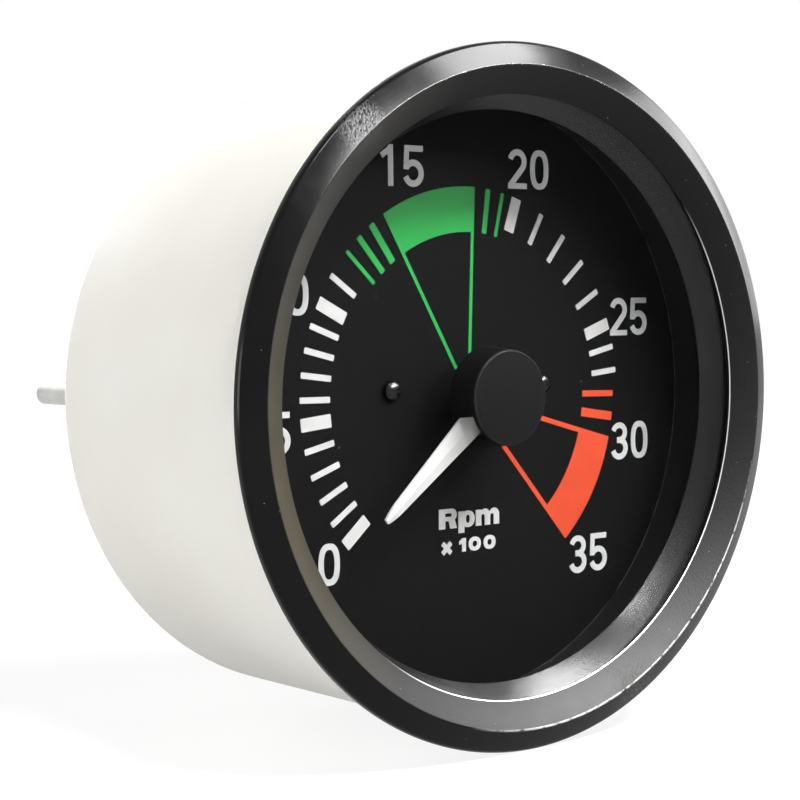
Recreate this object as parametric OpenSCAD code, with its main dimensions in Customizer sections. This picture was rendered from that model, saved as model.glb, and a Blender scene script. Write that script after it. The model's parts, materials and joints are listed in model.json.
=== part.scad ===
// Round dashboard tachometer for a panel hole: a pressed can with a rolled bezel,
// a printed dial under flat glass, and a crossed-coil movement that turns the pointer.
// The dial faces -Y, the studs and terminals leave towards +Y, and Z is up.
// The origin is on the can's axis, in the plane where the bezel seats on the panel.

/* [Can] */
// Outside diameter of the can, which passes through the panel hole
can_d = 100; // [98:0.5:110]
// Depth of the can behind the panel
can_depth = 51.5; // [50.5:0.5:70]
// Wall thickness of the pressed can
can_wall = 0.8; // [0.6:0.05:1.1]
// Bend radius between the can's side and its rear wall
can_corner = 1.6; // [1.4:0.1:4]

/* [Bezel] */
// How far the bezel's rim stands out beyond the can
bezel_overhang = 3; // [2.6:0.1:4]
// Height of the bezel's crest in front of the panel
bezel_crest = 3.2; // [3:0.1:4]
// Height of the bezel's outer shoulder in front of the panel
bezel_shoulder = 1.6; // [1.6:0.05:2]
// Distance from the can's side in to the bezel's crest
crest_inset = 0.6; // [0.3:0.1:1]
// Distance from the can's side in to the bezel's opening
bezel_inset = 4.7; // [4.3:0.1:5.5]
// Thickness of the bezel's sheet
bezel_sheet = 0.6; // [0.45:0.05:0.65]
// Radius that rounds the bezel's outer rim
rim_round = 0.9; // [0.5:0.1:1]

/* [Glass] */
// Place of the glass's front face behind the panel plane, less than zero when it is in front
glass_y = -0.5; // [-0.7:0.1:0.3]
// Thickness of the glass
glass_t = 1.8; // [1.5:0.1:2.2]
// Thickness of the gasket behind the glass
gasket_t = 0.8; // [0.6:0.1:1.2]
// Width of the gasket from its outer edge in
gasket_w = 1.7; // [1.5:0.1:2.2]
// Distance from the can's side in to the inner ring's free edge
ring_inset = 6.6; // [6:0.1:8]
// Depth of the inner ring's free edge behind the glass
ring_drop = 3; // [2.4:0.1:4]
// Thickness of the inner ring
ring_t = 0.6; // [0.4:0.1:0.8]
// Wall of the sleeve between the inner ring and the dial
sleeve_w = 2.1; // [1.6:0.1:2.6]

/* [Dial] */
// Depth of the dial's face behind the panel plane
dial_y = 13; // [12.5:0.25:13.75]
// Thickness of the dial
dial_t = 0.8; // [0.6:0.1:1]
// Radius of the hole in the dial for the pointer's spindle
dial_hole_r = 2.5; // [2:0.1:3]
// Distance of each dial screw from the axis
dial_screw_x = 15.5; // [15:0.5:17]
// Radius of a dial screw's head
dial_screw_head_r = 1.65; // [1.4:0.05:2]

/* [Scale print] */
// Radius of the outer ends of the white marks
mark_r = 32.5; // [31:0.25:33]
// Length of a white mark
mark_l = 5.5; // [4:0.25:6.5]
// Width of a mark at every five hundred turns
major_w = 2; // [1.5:0.1:2.4]
// Width of the marks between
minor_w = 0.91; // [0.6:0.05:1.1]
// Inner radius of the green band
green_in_r = 25.4; // [24:0.2:27]
// Inner radius of the red band
red_in_r = 24.7; // [24:0.2:27]
// Width of the two coloured bands
band_w = 7; // [5:0.25:7.5]
// Width of the line along each side of the green band
green_line_w = 0.6; // [0.4:0.05:0.8]
// Width of the line along each side of the red band
red_line_w = 0.8; // [0.5:0.05:1]
// Height of a numeral
numeral_h = 6.25; // [5.5:0.25:6.5]
// Width of a numeral
numeral_w = 3.95; // [3.5:0.05:4.2]
// Width of a numeral's stroke
numeral_s = 0.98; // [0.7:0.02:1.1]
// Height of the unit's capital letter
unit_h = 3.1; // [2.6:0.1:3.4]

/* [Pointer] */
// Angle of the pointer at its rest stop, from +X towards +Z
rest_angle = 219.5; // [218:0.5:222]
// Angle that the pointer turns to its full-scale stop
sweep = 268; // [250:1:272]
// Distance from the axis to the pointer's tip
pointer_l = 27.6; // [24:0.2:28]
// Width of the pointer where it leaves the hub cap
pointer_w = 4.2; // [3:0.1:4.6]
// Width of the pointer at its tip
tip_w = 0.8; // [0.5:0.1:1.2]
// Place of the pointer's face behind the panel plane
pointer_y = 6.9; // [6.4:0.1:7.5]
// Radius of the hub cap's front
cap_r = 7.25; // [6.5:0.25:8]
// Radius that the hub cap gains towards its back
cap_flare = 0.65; // [0.2:0.05:1]
// Place of the hub cap's front behind the panel plane
cap_y = 3.2; // [2.8:0.1:3.6]
// Length of the hub cap
cap_l = 5.1; // [4.6:0.1:6]
// Radius of the steel spindle
spindle_r = 0.6; // [0.5:0.05:0.8]

/* [Movement] */
// Thickness of the movement frame's plate
plate_t = 2; // [1.5:0.1:2.4]
// Radius of the rotor magnet
magnet_r = 5.6; // [5:0.1:5.8]
// Length of the rotor magnet
magnet_l = 5.6; // [4.5:0.1:5.8]
// Half the side of the square bobbin
bobbin_half = 8; // [7.8:0.05:8.2]
// Inside radius of the flux shield round the coils
shield_r = 12; // [12:0.1:13]
// Wall of the flux shield
shield_wall = 0.7; // [0.5:0.1:1]

/* [Electronics] */
// Width of the circuit board
board_w = 66; // [64:1:68]
// Height of the circuit board
board_h = 60; // [58:1:60]
// Thickness of the circuit board
board_t = 1.6; // [1.2:0.2:2]
// Distance of the calibration trimmer to the right of the axis
trimmer_x = 18; // [14:1:20]
// Distance of the calibration trimmer above the axis
trimmer_z = 12; // [9:1:13]

/* [Rear] */
// Distance between the two rear studs
stud_spacing = 80; // [78:0.5:82]
// Radius of a rear stud at its thread's pitch line
stud_r = 1.75; // [1.5:0.05:2]
// How far the studs stand out behind the can
stud_out = 24; // [18:1:30]
// Distance of each lamp holder from the axis
lamp_offset = 38; // [37.5:0.25:38.5]
// Radius of a lamp holder's body
lamp_r = 6.5; // [6:0.1:6.5]
// Distance from the axis down to the terminals
terminal_drop = 14; // [12:1:18]
// Distance between neighbouring spade terminals
terminal_pitch = 10; // [9:0.5:11]
// How far the spade terminals stand out behind the can
terminal_out = 9; // [8:0.5:12]

/* [Hidden] */
$fn = 96;
// Length by which a cutting tool runs past what it cuts
past = 1;
// Clearance of a loose fit between fixed pieces
fit_gap = 0.3;
// Clearance of a close fit between fixed pieces
seat_gap = 0.05;
// Clearance round a turning shaft
run_gap = 0.03;

// Can and bezel
can_r = can_d / 2;
can_in_r = can_r - can_wall;
can_back_in = can_depth - can_wall;
flange_back = -bezel_sheet;
flange_front = flange_back - can_wall;
rim_r = can_r + bezel_overhang;
pocket_r = rim_r - bezel_sheet;
flange_r = pocket_r - 0.1;
crest_r = can_r - crest_inset;
opening_r = can_r - bezel_inset;
lip_w = 1.1;
// Clearance between the can's wall and the bezel's hem
hem_gap = 0.9;
crest_round = 0.35;
hem_round = 0.5;

// Stack from the glass to the movement frame
stack_r = can_in_r - fit_gap;
glass_back = glass_y + glass_t;
gasket_in_r = stack_r - gasket_w;
ring_seat = glass_back + gasket_t;
ring_back = ring_seat + ring_t;
ring_open_r = can_r - ring_inset;
ring_edge_y = glass_back + ring_drop;
ring_clear = 0.2;
ring_top_r = gasket_in_r - ring_clear;
ring_top_y = glass_back + ring_clear;
dial_r = can_in_r - 2 * fit_gap;
dial_back = dial_y + dial_t;
plate_back = dial_back + plate_t;
print_t = 0.1;
dial_screw_r = 0.9;
dial_screw_z = 1.3;
dial_boss_r = 1.7;
dial_boss_l = 2.5;

// Scale: thousands of turns against the angle from +X towards +Z
scale_law = [[0, 221], [5, 185.6], [10, 153.1], [20, 71.4], [25, 19.4], [30, -15.2], [35, -48.7]];
// Place of each numeral: value, distance beyond the marks, angle
numeral_places = [[0, 3.9, 220.9], [5, 3.9, 186.5], [10, 5.8, 155.4], [15, 4.9, 110.1],
    [20, 5.3, 69.9], [25, 5, 18.5], [30, 4.2, -13.9], [35, 4.8, -46.2]];
numeral_gap = 0.8;
one_w = 2.35;
// Room kept after the bar of a one
one_room = 1.2;
unit_z = -18.9;
factor_z = -23.2;

// Pointer
boss_r = 1.6;
collar_r = 3.4;
blade_t = 0.35;
ridge_h = 0.45;
blade_back = pointer_y + blade_t;
taper_l = 2.4;
taper_w = 1.1;
cap_back = cap_y + cap_l;
cap_front_t = 0.9;
cap_wall = 1;
cap_round = 0.3;
cap_boss_r = 2;
pin_r = spindle_r + run_gap;
glue_r = spindle_r + 0.01;
spindle_front = cap_y + 2;

// Stop on the movement frame, and the arm that meets it
stop_y = plate_back + 0.3;
arm_t = 0.8;
arm_w = 1.2;
arm_r = 5.2;
arm_hub_r = 1.5;
collet_r = 1.6;
stop_in_r = 3.4;
stop_out_r = 9;
stop_back = stop_y + arm_t + 0.4;
stop_margin = 4.5;
arm_half = asin(arm_w / 2 / stop_in_r);
stop_half = (360 - sweep) / 2 - arm_half - stop_margin;
stop_centre = rest_angle + (360 - sweep) / 2;

// Crossed coils, from the front back
coil_t = 1.2;
coil_gap = 0.1;
coil_inner_x = 1.6;
coil_outer_x = 5.2;
outer_front = stop_back + fit_gap;
inner_front = outer_front + coil_t + coil_gap;
bobbin_front_y = inner_front + coil_t + coil_gap;
cavity_wall = 2.2;
cavity_r = 6.2;
magnet_gap = 0.8;
cavity_front = bobbin_front_y + cavity_wall;
magnet_front = cavity_front + magnet_gap;
cavity_back = magnet_front + magnet_l + magnet_gap;
bobbin_split = (cavity_front + cavity_back) / 2;
bobbin_back = cavity_back + cavity_wall;
inner_back = bobbin_back + coil_gap + coil_t;
outer_back = inner_back + coil_gap + coil_t;
shield_floor = outer_back + fit_gap;
shield_back = shield_floor + shield_wall;
shield_out_r = shield_r + shield_wall;
ear_z = shield_out_r + 4.6;
ear_r = 2.8;
movement_screw_r = 1;
bearing_r = 1.4;
bearing_gap = 0.2;
spindle_back = cavity_back + 1.4;
inner_coil_half = bobbin_half + coil_gap + coil_t;
outer_coil_half = inner_coil_half + coil_gap + coil_t;
post_place = bobbin_half - 1;
post_r = 1;

// Hairspring
spring_in_r = 1.9;
spring_out_r = 6.7;
spring_turns = 4.5;
spring_h = 0.8;
spring_t = 0.22;
spring_y = dial_back + 0.7;
frame_hole_r = spring_out_r + 0.3;

// Circuit board and what it carries
board_y = shield_back + 2.6;
board_back = board_y + board_t;
board_post_x = board_w / 2 - 5;
board_post_z = board_h / 2 - 5;
board_post_r = 2.6;
board_screw_r = 1.1;
board_screw_l = 7;
capacitor_x = 24;
capacitor_clear = 2.1;
resistor_pitch = 8;
resistor_first_x = -18;
resistor_z = 24;
chip_x = -8;
chip_z = 14;
chip_w = 20;
trimmer_side = 6;
trimmer_clear = 3;
trimmer_back = can_back_in - trimmer_clear;
trimmer_screw_r = 2.1;
trimmer_pin_r = 1;
trimmer_pin_l = 2.3;

// Rear wall
stud_x = stud_spacing / 2;
stud_tip = can_depth + stud_out;
stud_pillar_r = 4.5;
stud_front = can_back_in - 10;
stud_chamfer = 0.75;
stud_body_r = stud_r + 0.25;
stud_hole_r = stud_body_r + 0.15;
washer_t = 0.7;
nut_t = 2.8;
nut_flats = 7;
stud_step = can_depth + washer_t + nut_t + 1;
lamp_hole_r = lamp_r + fit_gap;
lug_r = lamp_r + 1.5;
lug_w = 3;
lug_t = 1.2;
lamp_release = 60;
lamp_flange_r = lamp_r + 2;
lamp_flange_t = 1.5;
lamp_body_l = 14;
bulb_r = 2.6;
bulb_l = 9;
bulb_base_r = 2.5;
bulb_base_l = 6;
calibration_hole_r = 3;
plug_rim_t = 0.9;
blade_w = 6.3;
blade_h = 0.8;
block_w = 2 * terminal_pitch + blade_w + 7.7;
block_h = 9;
block_rim = 1.5;
block_rim_t = 2;

// Angle of the pointer for a reading in hundreds of turns
function angle_at(reading) = lookup(reading, scale_law);

// Points of an arc, which may be an ellipse's, from one angle to another
function arc(centre, rx, ry, from, to, steps = 10) =
    [for (i = [0 : steps]) let (a = from + (to - from) * i / steps) centre + [rx * cos(a), ry * sin(a)]];

// Points that round the corner b between a and c with radius r
function rounded(a, b, c, r, steps = 5) =
    let (u = (a - b) / norm(a - b),
         v = (c - b) / norm(c - b),
         half = acos(u * v) / 2,
         centre = b + (u + v) / norm(u + v) * r / sin(half),
         p = b + u * r / tan(half) - centre,
         q = b + v * r / tan(half) - centre,
         start = atan2(p.y, p.x),
         turn = atan2(p.x * q.y - p.y * q.x, p * q))
    [for (i = [0 : steps]) centre + r * [cos(start + turn * i / steps), sin(start + turn * i / steps)]];

// Unit direction of a path at its point i, from the points on both sides
function direction(path, i) =
    let (d = path[min(i + 1, len(path) - 1)] - path[max(i - 1, 0)])
    d / norm(d);

// Outline of a stroke of width w along a path
function ribbon(path, w) =
    let (last = len(path) - 1,
         side = [for (i = [0 : last]) w / 2 * [-direction(path, i).y, direction(path, i).x]])
    concat([for (i = [0 : last]) path[i] + side[i]], [for (i = [last : -1 : 0]) path[i] - side[i]]);

// Rounded oval of a numeral
function oval(w, h, power = 2.5, steps = 40) =
    [for (i = [0 : steps - 1])
        let (a = 360 * i / steps, c = cos(a), s = sin(a))
        [w / 2 * sign(c) * pow(abs(c), 2 / power), h / 2 * sign(s) * pow(abs(s), 2 / power)]];

// Stands a shape built along +Z so that it runs along +Y
module along_y(y = 0) {
    translate([0, y, 0]) rotate([-90, 0, 0]) children();
}

// Turned shape from points of radius and depth
module turned(points) {
    along_y() rotate_extrude() polygon(points);
}

// Round bar along Y between two depths
module rod(r, y0, y1) {
    along_y(y0) cylinder(h = y1 - y0, r = r);
}

// Ring along Y between two depths
module tube(r_out, r_in, y0, y1) {
    difference() {
        rod(r_out, y0, y1);
        rod(r_in, y0 - past, y1 + past);
    }
}

// Drawing seen from the front: its X stays X and its Y becomes Z; its back lies at the given depth
module drawn(y_back, t) {
    translate([0, y_back, 0]) rotate([90, 0, 0]) linear_extrude(t) children();
}

// Upright box between two depths, centred on a point seen from the front
module block(x, z, w, h, y0, y1) {
    translate([x - w / 2, y0, z - h / 2]) cube([w, y1 - y0, h]);
}

// Turns a shape to an angle from +X towards +Z
module at_angle(a) {
    rotate([0, -a, 0]) children();
}

// Part of a flat ring between two angles less than half a turn apart
module sector(r_in, r_out, from, to) {
    reach = 2 * r_out;
    intersection() {
        difference() {
            circle(r_out);
            circle(r_in);
        }
        polygon([[0, 0], for (a = [from, (from + to) / 2, to]) reach * [cos(a), sin(a)]]);
    }
}

// Flat bar along a radius, with its corners rounded
module mark(a, r_in, r_out, w, corner = 0.15) {
    p = [[r_in, -w / 2], [r_out, -w / 2], [r_out, w / 2], [r_in, w / 2]];
    rotate(a) polygon([for (i = [0 : 3]) each rounded(p[(i + 3) % 4], p[i], p[(i + 1) % 4], corner, 3)]);
}

// Pressed can with its front flange and the openings of the rear wall
module can() {
    color("whitesmoke") difference() {
        turned(concat(
            [[can_in_r, flange_front], [flange_r, flange_front], [flange_r, flange_back], [can_r, flange_back]],
            rounded([can_r, 0], [can_r, can_depth], [0, can_depth], can_corner),
            [[0, can_depth], [0, can_back_in]],
            rounded([0, can_back_in], [can_in_r, can_back_in], [can_in_r, 0], can_corner - can_wall)));
        for (side = [-1, 1]) {
            translate([side * stud_x, 0, 0]) rod(stud_hole_r, can_back_in - past, can_depth + past);
            translate([0, 0, side * lamp_offset]) lamp_opening();
        }
        block(0, -terminal_drop, block_w + fit_gap, block_h + fit_gap,
            can_back_in - past, can_depth + past);
        translate([trimmer_x, 0, trimmer_z]) rod(calibration_hole_r, can_back_in - past, can_depth + past);
    }
}

// Keyhole that a lamp holder's lugs pass through once it is twisted
module lamp_opening() {
    rod(lamp_hole_r, can_back_in - past, can_depth + past);
    at_angle(lamp_release)
        block(0, 0, 2 * (lug_r + fit_gap), lug_w + 2 * fit_gap, can_back_in - past, can_depth + past);
}

// Rolled bezel: conical inner wall, crest, sloping face, rim, and the hem behind the can's flange
module bezel() {
    lip = [opening_r, glass_y];
    crest = [crest_r, -bezel_crest];
    shoulder = [rim_r, -bezel_shoulder];
    heel = [rim_r, 0];
    hem = [can_r + hem_gap, 0];
    color([0.1, 0.1, 0.1]) turned(concat(
        [lip],
        rounded(lip, crest, shoulder, crest_round, 3),
        rounded(crest, shoulder, heel, rim_round, 6),
        rounded(shoulder, heel, hem, hem_round, 4),
        [hem, [hem.x, flange_back], [pocket_r, flange_back], [pocket_r, flange_front],
         crest + [0, bezel_sheet], lip + [lip_w, 0]]));
}

// Flat glass, clamped under the bezel's lip
module glass() {
    color([0.8, 0.85, 0.85, 0.3]) rod(stack_r, glass_y, glass_back);
}

// Rubber ring behind the glass
module glass_gasket() {
    color([0.08, 0.08, 0.08]) tube(stack_r, gasket_in_r, glass_back, ring_seat);
}

// Sheet ring that slopes from the gasket in and back towards the dial
module inner_ring() {
    top = [ring_top_r, ring_top_y];
    edge = [ring_open_r, ring_edge_y];
    slope = top - edge;
    skin = ring_t / norm(slope) * [-slope.y, slope.x];
    back_edge = edge + skin;
    bend = back_edge + slope * (back_edge.y - ring_back) / -slope.y;
    color([0.25, 0.25, 0.25]) turned([[stack_r, ring_seat], [gasket_in_r, ring_seat], top, edge,
        back_edge, bend, [stack_r, ring_back]]);
}

// Dark sleeve that spaces the ring from the dial
module dial_sleeve() {
    color([0.2, 0.2, 0.2]) tube(stack_r, stack_r - sleeve_w, ring_back, dial_y);
}

// Dial plate with its spindle hole and two screw holes
module dial() {
    color([0.1, 0.1, 0.1]) difference() {
        rod(dial_r, dial_y, dial_back);
        rod(dial_hole_r, dial_y - past, dial_back + past);
        for (side = [-1, 1])
            at_dial_screw(side) rod(dial_screw_r + fit_gap, dial_y - past, dial_back + past);
    }
}

module at_dial_screw(side) {
    translate([side * dial_screw_x, 0, dial_screw_z]) children();
}

// White marks, a wide one at every five hundred turns
module white_marks() {
    color("white") drawn(dial_y, print_t)
        for (reading = [0 : 27])
            if (reading < 12 || reading > 19)
                mark(angle_at(reading), mark_r - mark_l, mark_r, reading % 5 == 0 ? major_w : minor_w);
}

// Numeral shapes, each centred on its own box
module digit(n, w, h, s) {
    a = (w - s) / 2;
    b = (h - s) / 2;
    if (n == 0) {
        difference() {
            polygon(oval(w, h));
            polygon(oval(w - 2 * s, h - 1.9 * s));
        }
    }
    if (n == 1) {
        bar = (one_w - one_room) / 2;
        translate([bar - s, -h / 2]) square([s, h]);
        polygon(ribbon([[bar - s / 2, b - s * 0.1], [bar - one_w + s * 0.1, b - h * 0.2]], s * 0.9));
    }
    if (n == 2) {
        polygon(ribbon(concat(arc([0, b - a], a, a, 165, -45, 16), [[-a - s * 0.1, -b]]), s));
        translate([-w / 2, -h / 2]) square([w, s * 0.9]);
    }
    if (n == 3) {
        upper = b * 0.47;
        waist = [-a * 0.35, b - 2 * upper];
        polygon(ribbon(concat(arc([0, b - upper], a * 0.92, upper, 165, -90, 16), [waist]), s * 0.95));
        polygon(ribbon(concat([waist], arc([0, -upper], a, b - upper, 90, -165, 16)), s));
    }
    if (n == 5) {
        bowl = b * 0.6;
        translate([-w / 2 + s * 0.3, h / 2 - s * 0.92]) square([w - s * 0.45, s * 0.92]);
        polygon(ribbon([[-a + s * 0.2, h / 2 - s * 0.1], [-a, -b + bowl * 1.35]], s * 0.95));
        polygon(ribbon(arc([-a * 0.05, bowl - b], a * 1.05, bowl, 150, -160, 18), s));
    }
}

function digit_w(n, w) = n == 1 ? one_w + one_room : w;

// Number of one or two digits, centred
module number(value, w, h, s) {
    tens = floor(value / 10);
    ones = value % 10;
    if (tens == 0) {
        digit(ones, w, h, s);
    } else {
        total = digit_w(tens, w) + numeral_gap + digit_w(ones, w);
        translate([(digit_w(tens, w) - total) / 2, 0]) digit(tens, w, h, s);
        translate([(total - digit_w(ones, w)) / 2, 0]) digit(ones, w, h, s);
    }
}

module numerals() {
    color("white") drawn(dial_y, print_t)
        for (place = numeral_places)
            translate((mark_r + place[1]) * [cos(place[2]), sin(place[2])])
                number(place[0], numeral_w, numeral_h, numeral_s);
}

// Unit lettering: Rpm over x 100, in plain bold letters
module unit_lettering() {
    u = unit_h / 3.1;
    color("white") drawn(dial_y, print_t) {
        translate([0, unit_z]) scale(u) {
            translate([-6.3, -1.55]) letter_r();
            translate([-2.35, -1.55]) letter_p();
            translate([1.25, -1.55]) letter_m();
        }
        translate([0, factor_z]) scale(u) {
            translate([-4.75, -1.05]) letter_x();
            translate([-1.6, 0]) small_one();
            translate([1, 0]) small_zero();
            translate([4.1, 0]) small_zero();
        }
    }
}

module letter_r() {
    square([1.25, 3.1]);
    difference() {
        union() {
            translate([0.6, 1.2]) square([2.1, 1.9]);
            translate([2.65, 2.15]) circle(0.95);
        }
        translate([1.25, 1.85]) square([1.1, 0.55]);
        translate([2.35, 2.125]) circle(0.275);
    }
    polygon([[1.9, 1.6], [3.1, 1.6], [3.65, 0], [2.3, 0]]);
}

module letter_p() {
    translate([0, -0.85]) square([1.2, 3.35]);
    difference() {
        translate([1.95, 1.25]) polygon(oval(2.8, 2.6, 2.2));
        translate([1.95, 1.25]) polygon(oval(0.85, 1.3, 2.2));
    }
}

module letter_m() {
    square([1.15, 2.5]);
    for (x = [0, 1.9]) {
        translate([x, 0]) difference() {
            union() {
                translate([1.95, 1.55]) circle(1.05);
                translate([1.85, 0]) square([1.15, 1.55]);
            }
            translate([1.5, 1.4]) circle(0.36);
            translate([1.14, -past]) square([0.72, past + 1.4]);
            translate([0, -past]) square([1.14, past + 1.5]);
        }
    }
}

module letter_x() {
    for (tilt = [-1, 1])
        translate([0, 0.8]) polygon(ribbon([[-0.85, -0.8 * tilt], [0.85, 0.8 * tilt]], 0.75));
}

module small_one() {
    translate([-0.05, -1.05]) square([0.8, 2.1]);
    polygon([[0.1, 1.05], [-0.6, 0.6], [-0.6, 0.05], [0.1, 0.3]]);
}

module small_zero() {
    difference() {
        polygon(oval(2.5, 2.2, 2.2));
        polygon(oval(0.95, 0.95, 2.2));
    }
}

// One coloured band: its sector, a line along each side to the hub, and the short marks beside it
module band(r_in, first, last, line_w, marks) {
    r_out = r_in + band_w;
    line_in_r = 5;
    edge = line_w / 2;
    sector(r_in, r_out, angle_at(last), angle_at(first));
    rotate(angle_at(first)) translate([line_in_r, -edge]) square([r_out - line_in_r, line_w]);
    rotate(angle_at(last)) translate([line_in_r, -edge]) square([r_out - line_in_r, line_w]);
    for (m = marks) mark(angle_at(m[0]), r_in, r_out, m[1]);
}

module green_band() {
    color([0.16, 0.6, 0.28]) drawn(dial_y, print_t)
        band(green_in_r, 14, 18, green_line_w,
            [[12, 0.65], [12 + 2 / 3, 0.97], [13 + 1 / 3, 1.14], [18 + 2 / 3, 0.97], [19 + 1 / 3, 0.65]]);
}

module red_band() {
    color([1, 0.35, 0.2]) drawn(dial_y, print_t)
        band(red_in_r, 30, 35, red_line_w, [[28, 1], [29, 1.45]]);
}

// Two domed screws that hold the dial to the frame's bosses
module dial_screws() {
    head_h = 1.3;
    side_h = 0.3;
    slot_w = 0.45;
    color([0.15, 0.15, 0.15]) for (side = [-1, 1]) at_dial_screw(side) difference() {
        union() {
            turned(concat([[0, dial_y], [dial_screw_head_r, dial_y]],
                arc([0, dial_y - side_h], dial_screw_head_r, head_h - side_h, 0, -90, 8)));
            rod(dial_screw_r, dial_y - seat_gap, plate_back + dial_boss_l);
        }
        block(0, 0, 2 * dial_screw_head_r, slot_w, dial_y - head_h - past, dial_y - head_h + slot_w);
    }
}

// Width of the pointer at a distance from the axis
function blade_width(r) =
    pointer_w + (tip_w + taper_w - pointer_w) * (r - cap_r) / (pointer_l - taper_l - cap_r);

// Moulded cap over the pointer's hub, notched where the blade passes through its skirt
module hub_cap() {
    mid_r = cap_r + cap_flare;
    notch_w = blade_width(cap_r - cap_wall) + fit_gap;
    color([0.17, 0.17, 0.17]) difference() {
        union() {
            difference() {
                turned(concat([[0, cap_y]],
                    rounded([0, cap_y], [cap_r, cap_y], [mid_r, cap_back], cap_round),
                    [[mid_r, cap_back], [0, cap_back]]));
                turned([[0, cap_y + cap_front_t], [cap_r - cap_wall, cap_y + cap_front_t],
                    [mid_r - cap_wall, cap_back + past], [0, cap_back + past]]);
            }
            rod(cap_boss_r, cap_y + cap_front_t - seat_gap, pointer_y);
        }
        rod(glue_r, spindle_front - fit_gap, pointer_y + past);
        at_angle(rest_angle)
            block(cap_r, 0, 4 * cap_wall, notch_w, cap_y + cap_front_t, cap_back + past);
    }
}

// White blade with a low ridge, on a flat collar under the cap
module pointer_blade() {
    root_r = cap_boss_r + seat_gap;
    color("white") difference() {
        union() {
            at_angle(rest_angle) intersection() {
                drawn(blade_back, blade_t + 2 * ridge_h) blade_outline(root_r);
                blade_roof(blade_width(root_r) / 2 + fit_gap);
            }
            rod(collar_r, pointer_y, blade_back);
        }
        rod(glue_r, pointer_y - past, blade_back + past);
    }
}

// The blade seen from the front, along +X: an even taper, then a short pointed end
module blade_outline(root_r) {
    shoulder_r = pointer_l - taper_l;
    stations = [[root_r, blade_width(root_r)], [shoulder_r, blade_width(shoulder_r)],
        [shoulder_r + taper_l / 2, tip_w + taper_w * 0.6], [pointer_l, tip_w]];
    last = len(stations) - 1;
    polygon(concat(
        [for (i = [0 : last]) [stations[i][0], stations[i][1] / 2]],
        [for (i = [last : -1 : 0]) [stations[i][0], -stations[i][1] / 2]]));
}

// Long roof that gives the blade its ridge, lower towards the tip
module blade_roof(half) {
    drop = 0.3;
    translate([0, pointer_y, 0]) rotate([0, 0, atan(drop / pointer_l)])
        rotate([90, 0, 90]) linear_extrude(pointer_l + past)
            polygon([[-ridge_h, 0], [0, half], [blade_t + ridge_h, half], [blade_t + ridge_h, -half],
                [0, -half]]);
}

// Black neck under the blade, glued to the spindle
module pointer_boss() {
    neck_back = dial_y - 1.5;
    flange = 0.8;
    color([0.12, 0.12, 0.12]) difference() {
        union() {
            rod(boss_r + flange, blade_back, blade_back + flange);
            rod(boss_r, blade_back, neck_back);
        }
        rod(glue_r, blade_back - past, neck_back + past);
    }
}

// Steel spindle from the hub cap to the rear bearing
module spindle() {
    color("silver") rod(spindle_r, spindle_front, spindle_back);
}

// Arm on the spindle that meets the frame's stop at both ends of the scale
module stop_arm() {
    color([0.75, 0.65, 0.4]) difference() {
        union() {
            rod(arm_hub_r, stop_y, stop_y + arm_t);
            at_angle(rest_angle) block(arm_r / 2, 0, arm_r, arm_w, stop_y, stop_y + arm_t);
        }
        rod(glue_r, stop_y - past, stop_y + arm_t + past);
    }
}

// Brass collet inside the hairspring
module spring_collet() {
    color([0.78, 0.62, 0.3]) tube(collet_r, glue_r, spring_y - 0.1, stop_y - 0.1);
}

// Round magnet that the coils turn
module rotor_magnet() {
    color([0.35, 0.35, 0.38]) tube(magnet_r, glue_r, magnet_front, magnet_front + magnet_l);
}

// Flat spiral spring, anchored at its outer end by the frame
module hairspring() {
    steps = 24 * spring_turns;
    path = [for (i = [0 : steps])
        let (r = spring_in_r + (spring_out_r - spring_in_r) * i / steps, a = 360 * spring_turns * i / steps)
        r * [cos(a), sin(a)]];
    anchor_l = frame_hole_r - seat_gap - spring_out_r;
    color([0.8, 0.66, 0.35]) {
        drawn(spring_y + spring_h, spring_h) polygon(ribbon(path, spring_t));
        at_angle(360 * spring_turns)
            block(spring_out_r + anchor_l / 2, 0, anchor_l, 1, spring_y, spring_y + spring_h);
    }
}

// Moulded frame: plate behind the dial, stop, pillars for the studs and posts for the board
module movement_frame() {
    color([0.85, 0.84, 0.8]) difference() {
        union() {
            rod(dial_r, dial_back, plate_back);
            for (x = [-1, 1]) {
                translate([x * stud_x, 0, 0]) rod(stud_pillar_r, plate_back - seat_gap, can_back_in);
                at_dial_screw(x) rod(dial_boss_r, plate_back - seat_gap, plate_back + dial_boss_l);
                for (z = [-1, 1])
                    at_board_post(x, z) rod(board_post_r, plate_back - seat_gap, board_y);
            }
        }
        rod(frame_hole_r, dial_back - past, plate_back + past);
        drawn(plate_back + past, plate_t + 2 * past) frame_windows();
        for (x = [-1, 1]) {
            translate([x * stud_x, 0, 0]) rod(stud_body_r + seat_gap, stud_front, can_back_in + past);
            at_dial_screw(x)
                rod(dial_screw_r + seat_gap, dial_back - past, plate_back + dial_boss_l + past);
            translate([0, 0, x * ear_z])
                rod(movement_screw_r + seat_gap, dial_back - past, plate_back + past);
            for (z = [-1, 1])
                at_board_post(x, z) rod(board_screw_r + seat_gap, board_y - board_screw_l, board_y + past);
        }
    }
    color([0.85, 0.84, 0.8]) drawn(stop_back, stop_back - plate_back + seat_gap)
        sector(stop_in_r, stop_out_r, stop_centre - stop_half, stop_centre + stop_half);
}

module at_board_post(x, z) {
    translate([x * board_post_x, 0, z * board_post_z]) children();
}

// Openings that let the lamps shine through the dial
module frame_windows() {
    window_rim = 5.6;
    window_out_r = dial_r - window_rim;
    lamp_window_in_r = 22;
    side_window_in_r = 24;
    for (a = [90, 270]) sector(lamp_window_in_r, window_out_r, a - 32, a + 32);
    for (a = [22, 158, 202, 338]) sector(side_window_in_r, window_out_r, a - 9, a + 9);
}

// Bronze bush between the halves of the coils
module front_bearing() {
    color([0.72, 0.5, 0.3]) tube(bearing_r, pin_r, stop_back + coil_gap, cavity_front - bearing_gap);
}

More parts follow.
